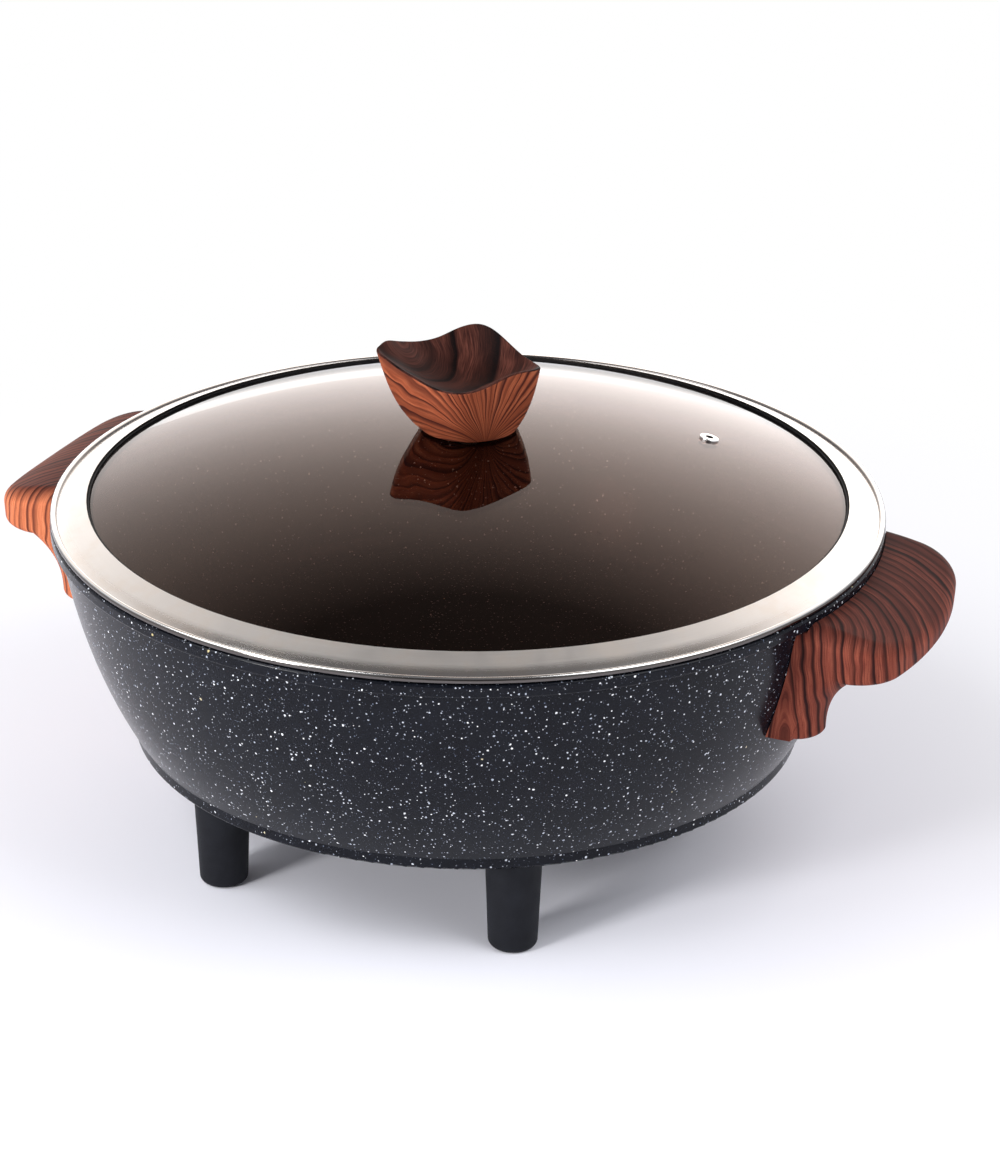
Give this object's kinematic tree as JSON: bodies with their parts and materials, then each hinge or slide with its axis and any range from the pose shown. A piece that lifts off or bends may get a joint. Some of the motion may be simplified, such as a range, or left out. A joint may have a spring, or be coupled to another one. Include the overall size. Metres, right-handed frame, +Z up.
{
  "type": "electric hot pot",
  "caption": "Electric hot pot on short legs: speckled stone-coated round pot with two wood-look side handles, a lift-off smoked glass lid with steel band, and a wavy cup-shaped knob",
  "frame": {"origin": "on the table under the pot axis", "axes": "+X along the right handle, +Y to the mains inlet at the back, +Z up"},
  "size_m": [0.3778, 0.32, 0.1958],
  "materials": {
    "coating": "speckled stone-effect non-stick coating, satin",
    "grip": "moulded phenolic with a rosewood-look film, satin",
    "glass": "smoked tempered glass, clear and glossy",
    "bright_steel": "bright satin",
    "plain_steel": "plain",
    "tube": "heat-darkened",
    "brass": "plain",
    "seal": "matte silicone",
    "ceramic": "unglazed ceramic",
    "black_plastic": "fine matte"
  },
  "bodies": {
    "pot": {"pot_body": "coating", "pot_floor": "coating", "pot_skirt": "coating", "pot_lugs": "coating", "leg_seats": "coating", "heater_seat": "coating", "probe_boss": "coating", "handle_right": "grip", "handle_left": "grip", "handle_screws_right": "plain_steel", "handle_screws_left": "plain_steel", "leg_front_left": "black_plastic", "leg_front_right": "black_plastic", "leg_rear_left": "black_plastic", "leg_rear_right": "black_plastic", "leg_screws": "plain_steel", "heating_element": "tube", "pin_bushes": "ceramic", "inlet_pins": "plain_steel", "inlet_plate": "plain_steel", "inlet_shroud": "black_plastic", "inlet_screws": "plain_steel", "probe_sleeve": "plain_steel", "earth_tab": "plain_steel"},
    "lid": {"lid_glass": "glass", "lid_band": "bright_steel", "lid_seal": "seal", "vent_eyelet": "bright_steel", "knob": "grip", "knob_insert": "brass", "knob_gasket_upper": "seal", "knob_gasket_lower": "seal", "knob_washer": "plain_steel", "knob_screw": "plain_steel"}
  },
  "joints": [
    {"name": "lid_lift", "type": "slide", "parent": "pot", "child": "lid", "axis": [0, 0, 1], "range_m": [0, 0.15]}
  ]
}
